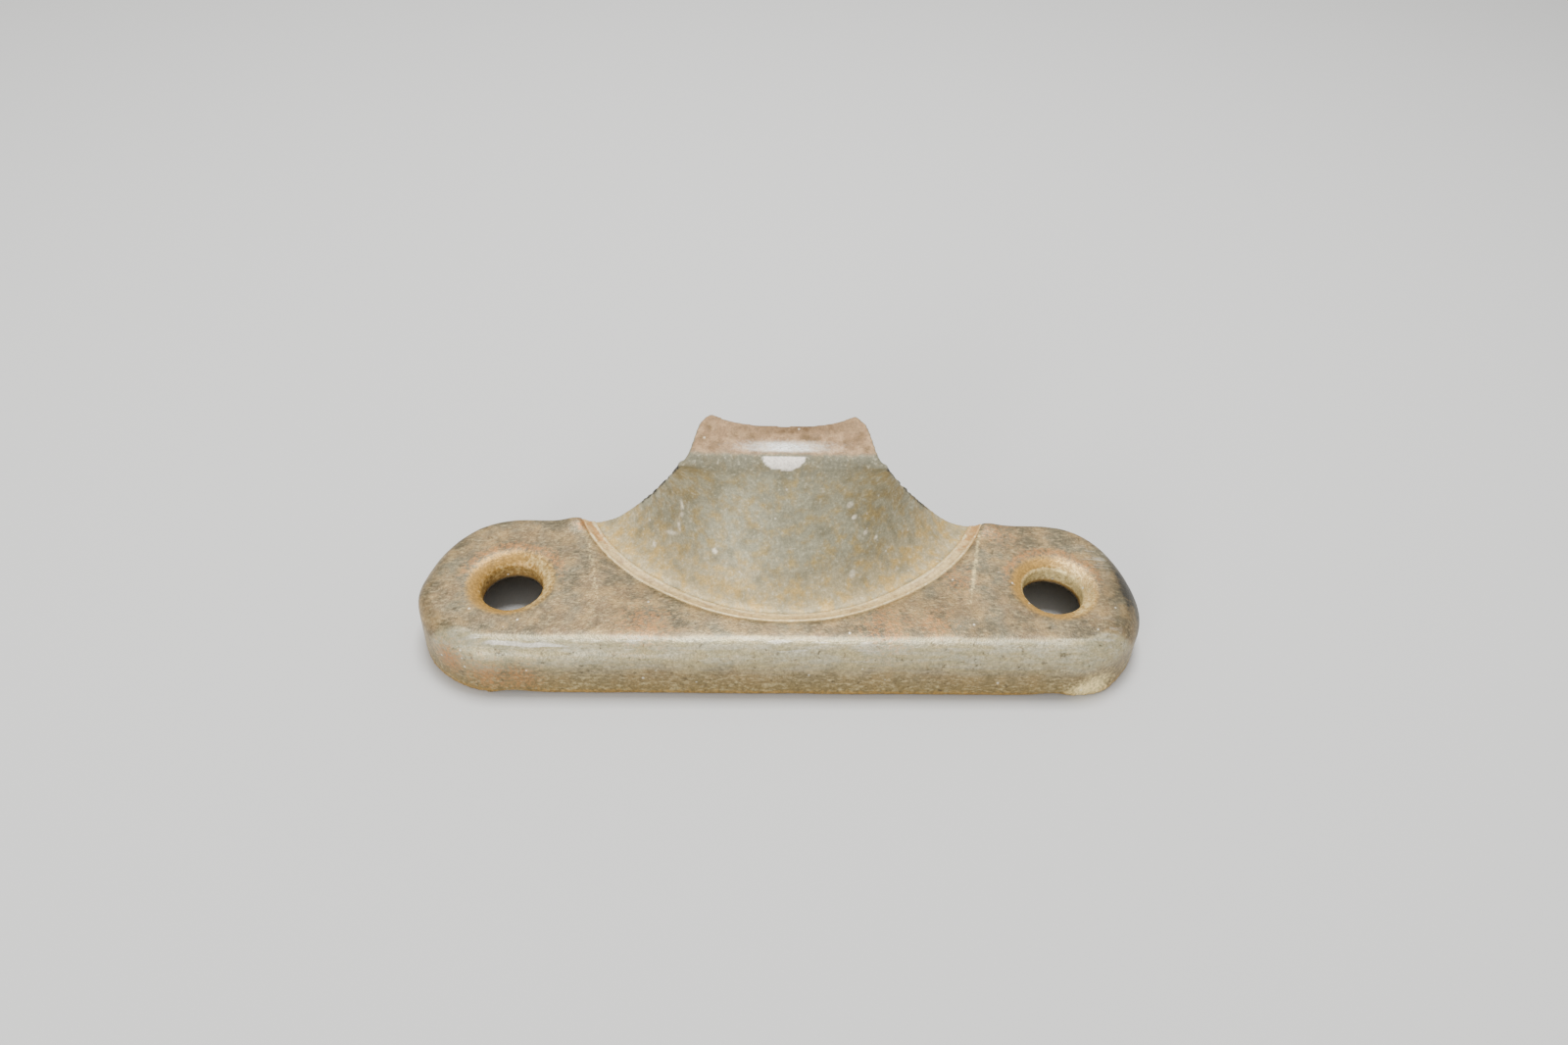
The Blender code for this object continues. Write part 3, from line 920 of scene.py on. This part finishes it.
# Brass brazing filler: yellower and paler than the bronze it joins, dull and slightly grainy,
# with brown oxide in patches and two paler lines where it stands highest.
def brazing_brass():
    material, tree, place = new_material("brazing_brass")
    mottle = clouds(tree, place, 1.4 * MM, 0.45, 0.6, 4)
    grit = clouds(tree, place, 0.4 * MM, 0.38, 0.62, 2)
    colour = coats(tree, linear("#d2b67e"), [
        ("#b3976a", mottle),
        ("#b88b50", ragged(tree, "end", mottle, 0.6)),
        ("#d8c392", ragged(tree, "line", mottle, 0.9)),
    ])
    colour = grain(tree, colour, grit, 0.84, 1.1)
    bumps = add(
        tree, "ShaderNodeBump", {"Height": grit, "Strength": 0.4, "Distance": 0.03 * MM})
    surface = add(
        tree, "ShaderNodeBsdfPrincipled",
        {"Base Color": colour, "Metallic": 0.3, "Roughness": 0.5,
         "Normal": bumps.outputs["Normal"]})
    add(tree, "ShaderNodeOutputMaterial", {"Surface": surface.outputs["BSDF"]})
    return material


braze = new_piece("braze_bead", braze_run())
cast_in_one(braze, braze_grain)
relax(braze, 1)
work(braze, braze_wear)
mark(braze, "line", bead_line)
mark(braze, "end", bead_end)
braze.data.materials.append(brazing_brass())
braze.data.shade_smooth()
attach(braze, "root")
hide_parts("braze_fillet")


# ----------------------------------------------------------------------------------------------
# Floor, light and camera: a matt pale floor, a large softbox overhead and another low on the
# left, an even white surround, and a 24 mm lens held close, looking down on the front.
# ----------------------------------------------------------------------------------------------
floor_gap = 0.05 * MM
floor_shape = bmesh.new()
bmesh.ops.create_grid(
    floor_shape, x_segments=1, y_segments=1, size=2.0,
    matrix=Matrix.Translation((0, 0, -floor_gap)))
floor = new_piece("floor", floor_shape)
floor_paint, floor_tree, _ = new_material("matt_floor_paint")
matt = add(
    floor_tree, "ShaderNodeBsdfPrincipled",
    {"Base Color": (0.62, 0.62, 0.61, 1), "Roughness": 0.9})
add(floor_tree, "ShaderNodeOutputMaterial", {"Surface": matt.outputs["BSDF"]})
floor.data.materials.append(floor_paint)


def softbox(name, place, size, power):
    """A square lamp turned towards the middle of the object's foot."""
    lamp = bpy.data.lights.new(name, "AREA")
    lamp.shape = "SQUARE"
    lamp.size = size
    lamp.energy = power
    light = bpy.data.objects.new(name, lamp)
    light.location = place
    light.rotation_euler = (-Vector(place)).to_track_quat("-Z", "Y").to_euler()
    bpy.context.scene.collection.objects.link(light)


softbox("overhead_softbox", (0.0, 0.12, 0.5), 0.17, 3.6)
softbox("side_softbox", (-0.3, -0.5, 0.18), 0.2, 2.0)
world = bpy.data.worlds.new("studio")
world.use_nodes = True
surround = world.node_tree.nodes["Background"]
surround.inputs["Color"].default_value = (1.0, 0.99, 0.97, 1)
surround.inputs["Strength"].default_value = 0.72
bpy.context.scene.world = world

view_distance = 167.2 * MM
view_down = math.radians(43.33)
view_turn = math.radians(2.95)
view_roll = math.radians(2.73)
aim = Vector((0.54, 21.6, 0)) * MM
camera_data = bpy.data.cameras.new("camera")
camera_data.lens = 24.0
camera_data.sensor_width = 36.0
camera_data.clip_start = 0.01
camera = bpy.data.objects.new("camera", camera_data)
swing_round = Matrix.Rotation(-view_turn, 4, "Z")
back_off = Vector((0, -math.cos(view_down), math.sin(view_down))) * view_distance
camera.matrix_world = (
    Matrix.Translation(aim + swing_round @ back_off) @ swing_round
    @ Matrix.Rotation(math.pi / 2 - view_down, 4, "X") @ Matrix.Rotation(view_roll, 4, "Z"))
bpy.context.scene.collection.objects.link(camera)
bpy.context.scene.camera = camera
